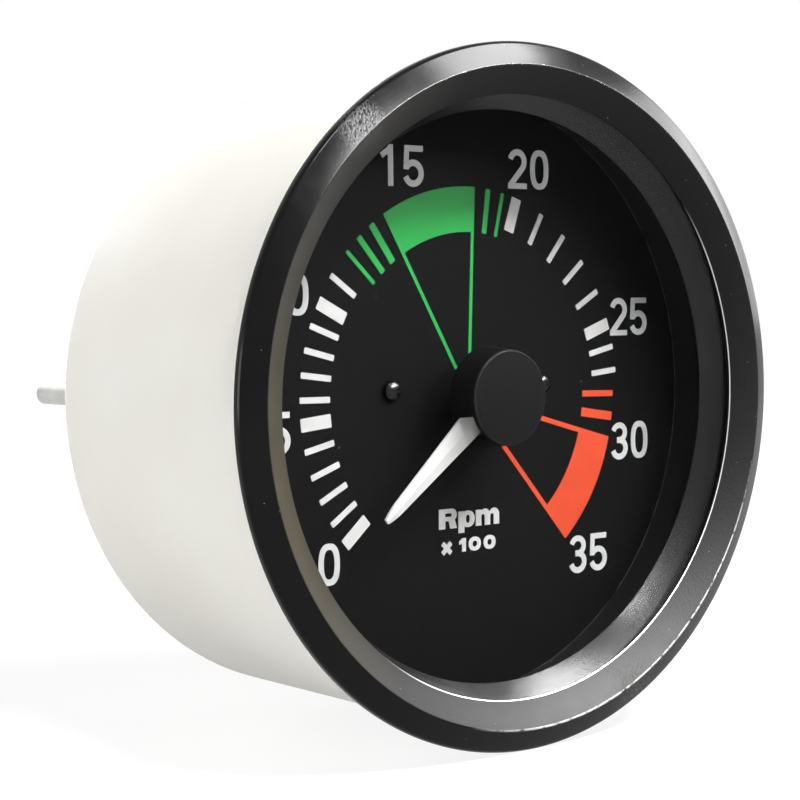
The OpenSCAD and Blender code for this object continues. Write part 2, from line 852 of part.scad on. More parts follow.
// Bronze cup that the spindle's end turns in
module rear_bearing() {
    color([0.72, 0.5, 0.3]) difference() {
        rod(bearing_r, cavity_back + bearing_gap, inner_back - coil_gap);
        rod(pin_r, cavity_back + bearing_gap - past, spindle_back + bearing_gap);
    }
}

// Front half of the bobbin, on four feet
module bobbin_front() {
    side = 2 * bobbin_half;
    color([0.25, 0.3, 0.35]) difference() {
        union() {
            block(0, 0, side, side, bobbin_front_y, bobbin_split);
            for (x = [-1, 1])
                for (z = [-1, 1])
                    translate([x * post_place, 0, z * post_place])
                        rod(post_r, plate_back, bobbin_front_y + seat_gap);
        }
        rod(cavity_r, cavity_front, bobbin_split + past);
        rod(bearing_r + seat_gap, bobbin_front_y - past, cavity_front + past);
    }
}

module bobbin_rear() {
    side = 2 * bobbin_half;
    color([0.25, 0.3, 0.35]) difference() {
        block(0, 0, side, side, bobbin_split, bobbin_back);
        rod(cavity_r, bobbin_split - past, cavity_back);
        rod(bearing_r + seat_gap, cavity_back - past, bobbin_back + past);
    }
}

// One winding seen from its side: a square loop of wire, in two halves that leave the spindle free
module coil_half(half, front, back, middle) {
    inner = half - coil_t;
    difference() {
        block(middle, 0, coil_outer_x - coil_inner_x, 2 * half, front, back);
        block(middle, 0, coil_outer_x, 2 * inner, front + coil_t, back - coil_t);
    }
}

module inner_coil() {
    middle = (coil_inner_x + coil_outer_x) / 2;
    color([0.72, 0.4, 0.2]) for (side = [-1, 1])
        coil_half(inner_coil_half, inner_front, inner_back, side * middle);
}

module outer_coil() {
    middle = (coil_inner_x + coil_outer_x) / 2;
    color([0.72, 0.4, 0.2]) at_angle(90) for (side = [-1, 1])
        coil_half(outer_coil_half, outer_front, outer_back, side * middle);
}

// Steel cup that keeps stray fields from the coils, with two ears to screw it down
module flux_shield() {
    color([0.62, 0.62, 0.6]) difference() {
        union() {
            rod(shield_out_r, plate_back, shield_back);
            for (side = [-1, 1]) {
                translate([0, 0, side * ear_z]) rod(ear_r, plate_back, plate_back + shield_wall);
                block(0, side * ear_z / 2, 2 * ear_r, ear_z, plate_back, plate_back + shield_wall);
            }
        }
        rod(shield_r, plate_back - past, shield_floor);
        for (side = [-1, 1])
            translate([0, 0, side * ear_z])
                rod(movement_screw_r + seat_gap, plate_back - past, shield_floor);
    }
}

// Screw with a flat head: the shank reaches forwards from under the head
module flat_screw(head_r, shank_r, head_y, head_h, shank_l) {
    difference() {
        union() {
            rod(head_r, head_y, head_y + head_h);
            rod(shank_r, head_y - shank_l, head_y + seat_gap);
        }
        block(0, 0, 2 * head_r, head_r / 4, head_y + head_h / 2, head_y + head_h + past);
    }
}

module movement_screws() {
    ear_back = plate_back + shield_wall;
    color("silver") for (side = [-1, 1])
        translate([0, 0, side * ear_z])
            flat_screw(head_r = 2, shank_r = movement_screw_r, head_y = ear_back, head_h = 1.2,
                shank_l = ear_back - dial_back - seat_gap);
}

// Board with holes for its four screws
module circuit_board() {
    color([0.1, 0.4, 0.25]) difference() {
        block(0, 0, board_w, board_h, board_y, board_back);
        for (x = [-1, 1])
            for (z = [-1, 1])
                at_board_post(x, z) rod(board_screw_r + seat_gap, board_y - past, board_back + past);
    }
}

module board_screws() {
    shank_l = board_t + board_screw_l - fit_gap;
    color("silver") for (x = [-1, 1])
        for (z = [-1, 1])
            at_board_post(x, z)
                flat_screw(head_r = 2.1, shank_r = board_screw_r, head_y = board_back, head_h = 1.3,
                    shank_l = shank_l);
}

// Integrated circuit that turns pulses into the two coil currents
module converter_chip() {
    body_h = 6.6;
    body_t = 3.2;
    foot = 0.6;
    legs = 8;
    leg_pitch = 2.54;
    leg_w = 0.5;
    leg_t = 0.4;
    leg_z = body_h / 2 + leg_t / 2;
    color([0.12, 0.12, 0.12])
        block(chip_x, chip_z, chip_w, body_h, board_back + foot, board_back + foot + body_t);
    color("silver") for (i = [0 : legs - 1])
        for (side = [-1, 1])
            block(chip_x + (i - (legs - 1) / 2) * leg_pitch, chip_z + side * leg_z, leg_w, leg_t,
                board_back, board_back + foot + body_t / 2);
}

// Upright electrolytic capacitors
module capacitors() {
    capacitor_r = 4;
    crimp = 0.5;
    top_t = 0.3;
    top_y = can_back_in - capacitor_clear;
    for (side = [-1, 1]) translate([side * capacitor_x, 0, -1]) {
        color([0.15, 0.2, 0.45]) rod(capacitor_r, board_back, top_y - top_t);
        color("silver") rod(capacitor_r - crimp, top_y - top_t, top_y);
    }
}

// Row of resistors that lie on the board on bent leads
module resistors() {
    body_r = 1.2;
    body_l = 6.4;
    lead_r = 0.3;
    lead_l = 1.2;
    axis_y = board_back + body_r + 0.2;
    lead_z = body_l / 2 + lead_l / 2;
    for (i = [0 : 4]) translate([resistor_first_x + i * resistor_pitch, 0, resistor_z]) {
        color([0.8, 0.7, 0.5]) translate([0, axis_y, -body_l / 2]) cylinder(h = body_l, r = body_r);
        color("silver") for (side = [-1, 1]) {
            translate([0, axis_y, side * lead_z - lead_l / 2]) cylinder(h = lead_l, r = lead_r);
            translate([0, 0, side * (lead_z + lead_l / 2 - 0.2)]) rod(lead_r, board_back, axis_y);
        }
    }
}

// Calibration trimmer: the square body on the board
module trimmer_body() {
    color([0.15, 0.3, 0.6]) translate([trimmer_x, 0, trimmer_z]) difference() {
        block(0, 0, trimmer_side, trimmer_side, board_back, trimmer_back);
        rod(trimmer_pin_r + run_gap, trimmer_back - trimmer_pin_l - 0.2, trimmer_back + past);
    }
}

// The trimmer's slotted screw
module trimmer_screw() {
    head_y = trimmer_back + seat_gap;
    head_t = 1.2;
    slot_w = 0.6;
    color("white") translate([trimmer_x, 0, trimmer_z]) difference() {
        union() {
            rod(trimmer_screw_r, head_y, head_y + head_t);
            rod(trimmer_pin_r, trimmer_back - trimmer_pin_l, head_y + seat_gap);
        }
        block(0, 0, 2 * trimmer_screw_r + past, slot_w, head_y + head_t / 2, head_y + head_t + past);
    }
}

// Rubber plug that closes the calibration hole
module calibration_plug() {
    plug_head_w = 1.2;
    plug_head_t = 1;
    plug_rim_w = 0.3;
    color([0.1, 0.1, 0.1]) translate([trimmer_x, 0, trimmer_z]) {
        rod(calibration_hole_r + plug_head_w, can_depth, can_depth + plug_head_t);
        rod(calibration_hole_r - seat_gap, can_back_in, can_depth);
        rod(calibration_hole_r + plug_rim_w, can_back_in - plug_rim_t, can_back_in);
    }
}

// Moulded block that carries the terminals through the rear wall
module terminal_block() {
    color([0.14, 0.14, 0.14]) difference() {
        union() {
            block(0, -terminal_drop, block_w, block_h, board_back, can_depth + seat_gap);
            block(0, -terminal_drop, block_w + 2 * block_rim, block_h + 2 * block_rim,
                can_depth, can_depth + block_rim_t);
        }
        for (i = [-1 : 1])
            block(i * terminal_pitch, -terminal_drop, blade_w + 2 * seat_gap, blade_h + 2 * seat_gap,
                board_back - past, can_depth + block_rim_t + past);
    }
}

// Three flat push-on terminals, soldered to the board
module spade_terminals() {
    tip_y = can_depth + terminal_out;
    tip_taper = 1;
    hole_r = 0.9;
    hole_inset = 3.2;
    half = blade_w / 2;
    color([0.8, 0.75, 0.6]) for (i = [-1 : 1])
        translate([i * terminal_pitch, 0, -terminal_drop - blade_h / 2])
            linear_extrude(blade_h) difference() {
                polygon([[-half, board_back], [half, board_back], [half, tip_y - tip_taper],
                    [half - tip_taper, tip_y], [tip_taper - half, tip_y], [-half, tip_y - tip_taper]]);
                translate([0, tip_y - hole_inset]) circle(hole_r);
            }
}

// Twist-in lamp holder with two lugs inside the wall and a finger bar outside
module lamp_holder(side) {
    front = can_depth - lamp_body_l;
    lug_back = can_back_in - 0.2;
    grip_w = 3;
    grip_back = can_depth + 5.5;
    color([0.13, 0.13, 0.13]) translate([0, 0, side * lamp_offset]) difference() {
        union() {
            rod(lamp_r, front, can_depth + seat_gap);
            rod(lamp_flange_r, can_depth + seat_gap, can_depth + lamp_flange_t);
            block(0, 0, 2 * lamp_flange_r - grip_w, grip_w, can_depth + lamp_flange_t - seat_gap,
                grip_back);
            intersection() {
                rod(lug_r, lug_back - lug_t, lug_back);
                block(0, 0, 2 * lug_r + past, lug_w, lug_back - lug_t - past, lug_back + past);
            }
        }
        rod(bulb_base_r + seat_gap, front - past, front + bulb_base_l);
    }
}

module lamp_holder_top() {
    lamp_holder(1);
}

module lamp_holder_bottom() {
    lamp_holder(-1);
}

// Small bulb: cylindrical base in the holder and a round glass in front
module bulb(side) {
    seat = can_depth - lamp_body_l + bulb_base_l;
    neck = can_depth - lamp_body_l - 0.5;
    globe_y = neck - bulb_l + bulb_r;
    color([0.95, 0.9, 0.7]) translate([0, 0, side * lamp_offset]) {
        turned(concat([[0, seat], [bulb_base_r, seat], [bulb_base_r, neck], [bulb_r * 0.8, neck - 1]],
            arc([0, globe_y], bulb_r, bulb_r, 20, -90, 8)));
    }
}

module bulb_top() {
    bulb(1);
}

module bulb_bottom() {
    bulb(-1);
}

// The two studs that clamp the frame to the can and carry the mounting bracket
module rear_studs() {
    color("silver") for (side = [-1, 1]) translate([side * stud_x, 0, 0]) {
        rod(stud_body_r, stud_front, stud_step);
        rod(stud_r, stud_step - seat_gap, stud_tip - stud_chamfer);
        along_y(stud_tip - stud_chamfer)
            cylinder(h = stud_chamfer, r1 = stud_r, r2 = stud_r - stud_chamfer);
    }
}

module stud_washers() {
    color("silver") for (side = [-1, 1]) translate([side * stud_x, 0, 0])
        tube(stud_pillar_r, stud_body_r + seat_gap, can_depth, can_depth + washer_t);
}

module stud_nuts() {
    nut_y = can_depth + washer_t;
    color("silver") for (side = [-1, 1]) translate([side * stud_x, 0, 0]) difference() {
        along_y(nut_y) cylinder(h = nut_t, r = nut_flats / 2 / cos(30), $fn = 6);
        rod(stud_body_r + seat_gap, nut_y - past, nut_y + nut_t + past);
    }
}

can();
bezel();
glass();
glass_gasket();
inner_ring();
dial_sleeve();
dial();
white_marks();
numerals();
unit_lettering();
green_band();
red_band();
dial_screws();
hub_cap();
pointer_blade();
pointer_boss();
spindle();
stop_arm();
spring_collet();
rotor_magnet();
hairspring();
movement_frame();
front_bearing();
rear_bearing();
bobbin_front();
bobbin_rear();
inner_coil();
outer_coil();
flux_shield();
movement_screws();
circuit_board();
board_screws();
converter_chip();
capacitors();
resistors();
trimmer_body();
trimmer_screw();
calibration_plug();
terminal_block();
spade_terminals();
lamp_holder_top();
lamp_holder_bottom();
bulb_top();
bulb_bottom();
rear_studs();
stud_washers();
stud_nuts();
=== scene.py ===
import json
from math import atan2, cos, pi, radians, sin

import bpy
from mathutils import Matrix, Vector

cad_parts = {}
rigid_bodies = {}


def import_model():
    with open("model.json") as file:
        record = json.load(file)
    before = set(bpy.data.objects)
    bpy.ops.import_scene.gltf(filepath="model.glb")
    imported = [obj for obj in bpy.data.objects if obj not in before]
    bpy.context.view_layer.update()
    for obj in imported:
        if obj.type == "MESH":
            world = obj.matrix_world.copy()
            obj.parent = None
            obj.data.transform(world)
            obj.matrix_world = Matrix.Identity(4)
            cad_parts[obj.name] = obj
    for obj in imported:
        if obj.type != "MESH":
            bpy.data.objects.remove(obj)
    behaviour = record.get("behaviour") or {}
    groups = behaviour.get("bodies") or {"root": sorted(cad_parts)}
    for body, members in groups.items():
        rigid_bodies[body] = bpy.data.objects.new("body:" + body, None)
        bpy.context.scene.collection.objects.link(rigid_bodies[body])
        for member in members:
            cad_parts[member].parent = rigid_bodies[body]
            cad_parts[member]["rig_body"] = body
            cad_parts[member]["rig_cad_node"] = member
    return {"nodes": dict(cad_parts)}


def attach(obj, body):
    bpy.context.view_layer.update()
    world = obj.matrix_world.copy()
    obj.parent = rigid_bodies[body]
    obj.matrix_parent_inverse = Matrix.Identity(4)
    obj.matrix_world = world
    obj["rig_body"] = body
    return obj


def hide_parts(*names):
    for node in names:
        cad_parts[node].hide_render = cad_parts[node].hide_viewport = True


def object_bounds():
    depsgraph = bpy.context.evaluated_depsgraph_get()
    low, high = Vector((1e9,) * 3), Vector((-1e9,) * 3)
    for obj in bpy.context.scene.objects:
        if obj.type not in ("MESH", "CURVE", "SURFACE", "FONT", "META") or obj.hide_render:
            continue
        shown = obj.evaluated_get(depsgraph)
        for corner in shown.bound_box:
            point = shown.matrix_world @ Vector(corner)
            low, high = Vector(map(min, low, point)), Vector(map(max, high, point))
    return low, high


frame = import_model()
nodes = frame["nodes"]
cad_low, cad_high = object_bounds()

# The can is a cup pressed from sheet steel and enamelled off-white. Its rear wall has
# openings for the studs, the terminals and the lamp holders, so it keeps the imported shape,
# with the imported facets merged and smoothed.
mm = 0.001
facet_weld = 0.005 * mm
flat_angle = radians(0.5)
corner_angle = radians(40)
smooth_angle = radians(32)


class Wire:
    """A socket of a material's nodes. Sums and products of it add Math nodes."""

    def __init__(self, socket):
        self.socket = socket

    def node(self, kind, settings, inputs, output=0):
        """Adds a node, its settings first and then its sockets, and gives one of its outputs."""
        tree = self.socket.id_data
        made = tree.nodes.new(kind)
        stops = settings.pop("stops", [])
        for name, value in settings.items():
            setattr(made, name, value)
        for index, (place, level) in enumerate(stops):
            stop = made.color_ramp.elements[index]
            stop.position = place
            stop.color = (level, level, level, 1)
        for name, value in inputs.items():
            if isinstance(value, Wire):
                tree.links.new(value.socket, made.inputs[name])
            else:
                made.inputs[name].default_value = value
        return Wire(made.outputs[output])

    def beside(self, output):
        """Another output of the same node."""
        return Wire(self.socket.node.outputs[output])

    def math(self, operation, other):
        """A Math node on this value and another."""
        return self.node("ShaderNodeMath", {"operation": operation}, {0: self, 1: other})

    def __add__(self, other):
        return self.math("ADD", other)

    def __mul__(self, other):
        return self.math("MULTIPLY", other)

    def __sub__(self, other):
        return self.math("SUBTRACT", other)

    def __rsub__(self, other):
        return self.node("ShaderNodeMath", {"operation": "SUBTRACT"}, {0: other, 1: self})

    __radd__ = __add__
    __rmul__ = __mul__

    def vector(self, operation, other, output=0):
        """A vector sum, or with output "Value" a length, distance or dot product."""
        return self.node("ShaderNodeVectorMath", {"operation": operation}, {0: self, 1: other}, output)

    def along(self, axis):
        """X, Y or Z of this place."""
        return self.node("ShaderNodeSeparateXYZ", {}, {0: self}, axis)

    def towards(self, direction):
        """How far this place lies in a direction."""
        return self.vector("DOT_PRODUCT", direction, "Value")

    def radius(self):
        """How far this place lies from the dial's axis."""
        return self.vector("MULTIPLY", (1, 0, 1)).vector("LENGTH", (0, 0, 0), "Value")

    def spot(self, centre, radius):
        """1 at a point and 0 from so far away."""
        return (1 - self.vector("DISTANCE", centre, "Value") * (1 / radius)).clamp()

    def step(self, first, last):
        """0 up to the first value and 1 from the last on."""
        return ((self - first) * (1 / (last - first))).clamp()

    def wave(self, pitch):
        """A sine of this value, from -1 to 1."""
        return (self * (2 * pi / pitch)).math("SINE", 0)

    def clamp(self):
        """This value kept between 0 and 1."""
        return self.node("ShaderNodeClamp", {}, {"Value": self})

    def ramp(self, first, last):
        """This value through a ramp between two stops, each a (place, level)."""
        return self.node("ShaderNodeValToRGB", {"stops": (first, last)}, {"Fac": self})

    def colour(self, low, high):
        """A colour that runs from low to high as this value goes from 0 to 1."""
        first, second, mixed = 6, 7, 2
        inputs = {0: self, first: low, second: high}
        return self.node("ShaderNodeMix", {"data_type": "RGBA"}, inputs, mixed)

    def noise(self, per_metre, detail=2.0, stretch=(1, 1, 1)):
        """Soft noise on this place, with so many features to a metre."""
        place = self.node("ShaderNodeMapping", {}, {"Vector": self, "Scale": stretch})
        return self.node("ShaderNodeTexNoise", {}, {"Vector": place, "Scale": per_metre, "Detail": detail})

    def specks(self, per_metre, size, share):
        """Round dots: their spacing, their size against it, and the share of places that have one."""
        near = self.node("ShaderNodeTexVoronoi", {}, {"Vector": self, "Scale": per_metre})
        chance = near.beside("Color").node("ShaderNodeSeparateColor", {}, {0: near.beside("Color")})
        return near.math("LESS_THAN", size) * chance.math("LESS_THAN", share)

    def bump(self, depth):
        """Surface direction from this value taken as a height, in metres at 1."""
        return self.node("ShaderNodeBump", {}, {"Height": self, "Distance": depth, "Strength": 1.0})


def linear(red, green, blue):
    """A colour for a shader from three levels out of 255."""
    def level(value):
        value = value / 255
        return value / 12.92 if value <= 0.04045 else ((value + 0.055) / 1.055) ** 2.4
    return (level(red), level(green), level(blue), 1)


def new_finish(name, fixed):
    """A material with these numbers on its shader, and the place on the piece in metres."""
    material = bpy.data.materials.new(name)
    material.use_nodes = True
    shader = material.node_tree.nodes["Principled BSDF"]
    for socket, value in fixed.items():
        shader.inputs[socket].default_value = value
    coordinates = material.node_tree.nodes.new("ShaderNodeTexCoord")
    return material, Wire(coordinates.outputs["Object"])


def feed(material, wires):
    """Links each wire to the shader's socket of that name."""
    shader = material.node_tree.nodes["Principled BSDF"]
    for socket, wire in wires.items():
        material.node_tree.links.new(wire.socket, shader.inputs[socket])
    return material


def give(piece, material):
    """Puts a material on every face of a piece."""
    piece.data.materials.clear()
    piece.data.materials.append(material)
    for face in piece.data.polygons:
        face.material_index = 0


def pick(piece):
    """Selects one piece alone and makes it active."""
    bpy.ops.object.select_all(action="DESELECT")
    piece.select_set(True)
    bpy.context.view_layer.objects.active = piece


def enamel():
    """Stoved off-white enamel: clouds of a slightly different shade, and fine orange peel."""
    material, place = new_finish("off_white_enamel", {
        "Specular IOR Level": 0.28, "Coat Weight": 0.06, "Coat Roughness": 0.12})
    clouds = place.noise(22, detail=3).ramp((0.35, 0), (0.65, 1))
    peel = place.noise(900, detail=1)
    return feed(material, {
        "Base Color": clouds.colour(linear(229, 226, 218), linear(236, 234, 228)),
        "Roughness": 0.36 + 0.08 * place.noise(60),
        "Normal": peel.bump(0.012 * mm),
    })


def stands_for(piece, material, body, node):
    """Finishes a new piece, hangs it on its body and lets it stand for a CAD node."""
    give(piece, material)
    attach(piece, body)
    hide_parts(node)


def smoothed(node, name, material, edge=0):
    """A copy that stands for a CAD node, with its facets merged, its edges broken and its sides smooth."""
    piece = nodes[node].copy()
    piece.data = nodes[node].data.copy()
    piece.name = name
    bpy.context.scene.collection.objects.link(piece)
    piece.parent = None
    body = piece["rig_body"]
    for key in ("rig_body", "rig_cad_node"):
        del piece[key]
    pick(piece)
    bpy.ops.object.mode_set(mode="EDIT")
    bpy.ops.mesh.select_all(action="SELECT")
    bpy.ops.mesh.remove_doubles(threshold=facet_weld)
    if edge:
        bpy.ops.mesh.dissolve_limited(angle_limit=flat_angle)
    bpy.ops.object.mode_set(mode="OBJECT")
    bpy.ops.mesh.customdata_custom_splitnormals_clear()
    if edge:
        broken = piece.modifiers.new("broken_edges", "BEVEL")
        broken.width = edge
        broken.segments = 2
        broken.limit_method = "ANGLE"
        broken.angle_limit = corner_angle
        bpy.ops.object.modifier_apply(modifier=broken.name)
    bpy.ops.object.shade_smooth_by_angle(angle=smooth_angle)
    stands_for(piece, material, body, node)


smoothed("can", "can_shell", enamel())

# The movement frame is moulded in one piece with its pillars, and so are the halves of the
# bobbin. They are natural and grey engineering plastic, seen only when the case is open.


def moulded(name, low, high, roughness):
    """Moulded plastic or rubber: faint flow marks and a fine even grain."""
    material, place = new_finish(name, {"Specular IOR Level": 0.4})
    flow = place.noise(70, stretch=(1, 3, 1))
    return feed(material, {
        "Base Color": flow.ramp((0.3, 0), (0.7, 1)).colour(low, high),
        "Roughness": roughness + 0.1 * place.noise(400),
        "Normal": place.noise(2600, detail=1).bump(0.01 * mm),
    })


def dress(material, *names):
    """Puts a material on CAD nodes that stay as they are."""
    for name in names:
        give(nodes[name], material)


dress(moulded("frame_plastic", linear(205, 202, 192), linear(218, 216, 207), 0.5), "movement_frame")
dress(moulded("bobbin_plastic", linear(66, 76, 86), linear(80, 92, 104), 0.5),
      "bobbin_front", "bobbin_rear")

# The spindle, bearings, collet, stop arm and hairspring are small turned or stamped pieces
# of steel, brass and bronze. The rotor is a sintered magnet, and the cup round it is steel.


def metal(name, low, high, roughness, grain=(1, 1, 1)):
    """Bare or plated metal: fine marks along the grain that vary its shade and its gloss."""
    material, place = new_finish(name, {"Metallic": 1.0, "Specular IOR Level": 0.5})
    marks = place.noise(1500, detail=3, stretch=grain)
    return feed(material, {
        "Base Color": place.noise(160, detail=3).ramp((0.3, 0), (0.7, 1)).colour(low, high),
        "Roughness": roughness + 0.14 * marks,
        "Normal": marks.bump(0.006 * mm),
    })


dress(metal("ground_steel", linear(170, 170, 168), linear(190, 190, 188), 0.2, (1, 0.1, 1)), "spindle")
dress(metal("brass", linear(188, 150, 84), linear(205, 168, 98), 0.25), "spring_collet", "stop_arm")
dress(metal("spring_bronze", linear(190, 152, 90), linear(208, 172, 108), 0.22), "hairspring")
dress(metal("bearing_bronze", linear(160, 118, 78), linear(178, 134, 92), 0.4),
      "front_bearing", "rear_bearing")
dress(metal("sintered_magnet", linear(70, 70, 74), linear(88, 88, 92), 0.45), "rotor_magnet")
dress(metal("shield_steel", linear(146, 146, 142), linear(164, 164, 160), 0.32), "flux_shield")
dress(metal("screw_steel", linear(158, 158, 156), linear(178, 178, 176), 0.25),
      "movement_screws", "board_screws")

# Each coil is wound from enamelled copper wire, laid turn beside turn. The two cross each
# other round the rotor.
wire_pitch = 0.32 * mm


def winding(name, across):
    """Copper wire wound side by side; across is the axis on which the turns follow each other."""
    material, place = new_finish(name, {"Metallic": 0.85, "Specular IOR Level": 0.5, "Coat Weight": 0.4})
    turn = place.along(across).wave(wire_pitch)
    return feed(material, {
        "Base Color": (turn * 0.5 + 0.5).colour(linear(112, 52, 24), linear(196, 110, 60)),
        "Roughness": 0.3 + 0.1 * place.noise(900),
        "Normal": turn.bump(0.06 * mm),
    })


dress(winding("inner_winding", "X"), "inner_coil")
dress(winding("outer_winding", "Z"), "outer_coil")

# The circuit board is green laminate. The chip, capacitors, resistors and trimmer stand on
# its rear face, soldered through it.


def lacquer(name, low, high, roughness, per_metre):
    """Board laminate and the skins of small parts: a weave or mottle under a clear lacquer."""
    material, place = new_finish(name, {
        "Specular IOR Level": 0.5, "Coat Weight": 0.3, "Coat Roughness": 0.2})
    mottle = place.noise(per_metre)
    return feed(material, {
        "Base Color": mottle.ramp((0.35, 0), (0.65, 1)).colour(low, high),
        "Roughness": roughness + 0.12 * place.noise(per_metre * 2),
        "Normal": mottle.bump(0.01 * mm),
    })


dress(lacquer("board_laminate", linear(18, 74, 48), linear(30, 98, 62), 0.35, 700), "circuit_board")
dress(lacquer("chip_epoxy", linear(26, 26, 27), linear(38, 38, 39), 0.6, 1800), "converter_chip")
dress(lacquer("capacitor_sleeve", linear(30, 40, 84), linear(40, 54, 104), 0.3, 300), "capacitors")
dress(lacquer("resistor_lacquer", linear(184, 160, 122), linear(204, 182, 146), 0.4, 900), "resistors")
dress(lacquer("trimmer_blue", linear(32, 64, 128), linear(42, 80, 148), 0.4, 900), "trimmer_body")
dress(moulded("trimmer_white", linear(214, 212, 206), linear(228, 226, 220), 0.4), "trimmer_screw")

# The dial is an aluminium plate sprayed matt black. The scale, the numerals and the unit
# are printed on it in thick ink.
dust_grey = linear(150, 150, 147)


def dial_spray():
    """Matt sprayed paint with a fine tooth, and pale grains of dust."""
    material, place = new_finish("dial_black", {"Specular IOR Level": 0.02})
    grains = place.specks(600, size=0.07, share=0.10)
    shade = place.noise(30).colour(linear(13, 13, 14), linear(18, 18, 19))
    return feed(material, {
        "Base Color": (grains * 0.4).colour(shade, dust_grey),
        "Roughness": 0.55 + 0.1 * place.noise(140),
        "Normal": place.noise(5200, detail=1).bump(0.008 * mm),
    })


def ink(name, red, green, blue):
    """Screen ink: nearly even, with a fine tooth and a slightly thinner coat in places."""
    material, place = new_finish(name, {"Specular IOR Level": 0.08, "Roughness": 0.6})
    thin = place.noise(260, detail=3).ramp((0.3, 0), (0.75, 1))
    darker = linear(red * 0.94, green * 0.94, blue * 0.94)
    return feed(material, {
        "Base Color": thin.colour(darker, linear(red, green, blue)),
        "Normal": place.noise(3400, detail=1).bump(0.006 * mm),
    })


dress(dial_spray(), "dial")
dress(ink("white_ink", 246, 246, 245), "white_marks", "numerals", "unit_lettering")
dress(ink("green_ink", 42, 196, 88), "green_band")
dress(ink("red_ink", 252, 88, 50), "red_band")

# Two domed steel screws hold the dial on the movement frame. They are blackened and glossy,
# with a narrow slot.
smoothed("dial_screws", "domed_screws",
         metal("black_screw", linear(30, 30, 31), linear(46, 46, 47), 0.14))

# The pointer is a white blade on a black neck glued to the spindle, under a moulded black
# cap. The cap is open behind, with a boss over the spindle's end and a notch in its wall
# for the blade.
turn_steps = 256
turn_weld = 0.002 * mm
turned_angle = radians(24)


class Reach:
    """How far a round CAD node reaches from the dial's axis and from the panel, in mm."""

    def __init__(self, name):
        corners = [corner.co / mm for corner in nodes[name].data.vertices]
        radii = [Vector((corner.x, corner.z)).length for corner in corners]
        depths = [corner.y for corner in corners]
        self.inner = round(min(radii), 3)
        self.outer = round(max(radii), 3)
        self.front = round(min(depths), 3)
        self.rear = round(max(depths), 3)


def spun(name, outline, closed=True, steps=turn_steps):
    """A turned piece: a vertex drawn along an outline of (radius, depth) in mm, then spun round Y."""
    bpy.ops.object.select_all(action="DESELECT")
    bpy.ops.mesh.primitive_plane_add(size=mm)
    piece = bpy.context.active_object
    piece.name = name
    bpy.ops.object.mode_set(mode="EDIT")
    bpy.ops.mesh.merge(type="CENTER")
    points = [Vector((radius, depth, 0)) * mm for radius, depth in outline]
    if closed:
        points.append(points[0])
    bpy.ops.transform.translate(value=points[0])
    for before, after in zip(points, points[1:]):
        bpy.ops.mesh.extrude_vertices_move(TRANSFORM_OT_translate={"value": after - before})
    bpy.ops.mesh.select_all(action="SELECT")
    bpy.ops.mesh.spin(steps=steps, angle=2 * pi, center=(0, 0, 0), axis=(0, 1, 0))
    bpy.ops.mesh.select_all(action="SELECT")
    bpy.ops.mesh.remove_doubles(threshold=turn_weld)
    bpy.ops.mesh.normals_make_consistent(inside=False)
    bpy.ops.object.mode_set(mode="OBJECT")
    bpy.ops.object.shade_smooth_by_angle(angle=turned_angle)
    return piece


def bend(before, corner, after, radius, steps=6):
    """Points that round a corner of an outline with a radius."""
    corner = Vector(corner)
    back = (Vector(before) - corner).normalized()
    onward = (Vector(after) - corner).normalized()
    half = back.angle(onward) / 2
    length = radius * cos(half) / sin(half)
    centre = corner + (back + onward).normalized() * (radius / sin(half))
    start = corner + back * length - centre
    end = corner + onward * length - centre
    first = atan2(start.y, start.x)
    turn = start.angle_signed(end)
    angles = [first - turn * step / steps for step in range(steps + 1)]
    return [(centre.x + radius * cos(angle), centre.y + radius * sin(angle)) for angle in angles]


def cut_out(piece, tool):
    """Cuts a tool's shape out of a piece, and throws the tool away."""
    pick(piece)
    cut = piece.modifiers.new("cut", "BOOLEAN")
    cut.operation = "DIFFERENCE"
    cut.solver = "EXACT"
    cut.object = tool
    bpy.ops.object.modifier_apply(modifier=cut.name)
    bpy.data.objects.remove(tool)


dress(moulded("neck_black", linear(24, 24, 24), linear(32, 32, 32), 0.5), "pointer_boss")
dress(ink("pointer_white", 252, 252, 251), "pointer_blade")

cap = Reach("hub_cap")
cap_radius = 7.25
cap_wall = 1.0
cap_inside = cap.front + 0.9
cap_round = 0.3
skirt_round = 0.12
boss_radius = 2.0
boss_end = 6.9
spindle_hole = 0.65
spindle_hole_end = 4.9
cap_steps = 96
hub = spun("pointer_cap", [
    (0, cap.front),
    *bend((0, cap.front), (cap_radius, cap.front), (cap.outer, cap.rear), cap_round),
    *bend((cap_radius, cap.front), (cap.outer, cap.rear), (0, cap.rear), skirt_round, 2),
    (cap.outer - cap_wall, cap.rear), (cap_radius - cap_wall, cap_inside),
    (boss_radius, cap_inside), (boss_radius, boss_end),
    (spindle_hole, boss_end), (spindle_hole, spindle_hole_end), (0, spindle_hole_end),
], closed=False, steps=cap_steps)

pointer_rest = radians(219.5)
notch_width = 4.63
notch_middle = 6.7
bpy.ops.object.select_all(action="DESELECT")
bpy.ops.mesh.primitive_cube_add(
    size=mm,
    location=(cap_radius * mm * cos(pointer_rest), notch_middle * mm, cap_radius * mm * sin(pointer_rest)),
    rotation=(0, -pointer_rest, 0),
    scale=(4 * cap_wall, 2 * (notch_middle - cap_inside), notch_width))
cut_out(hub, bpy.context.active_object)
pick(hub)
bpy.ops.object.shade_smooth_by_angle(angle=turned_angle)

rim_polish_and_sheen = (cap_radius - 0.27, cap_radius - 0.13)
side_polish_and_sheen = (cap.front + 0.2, cap.front + 0.4)


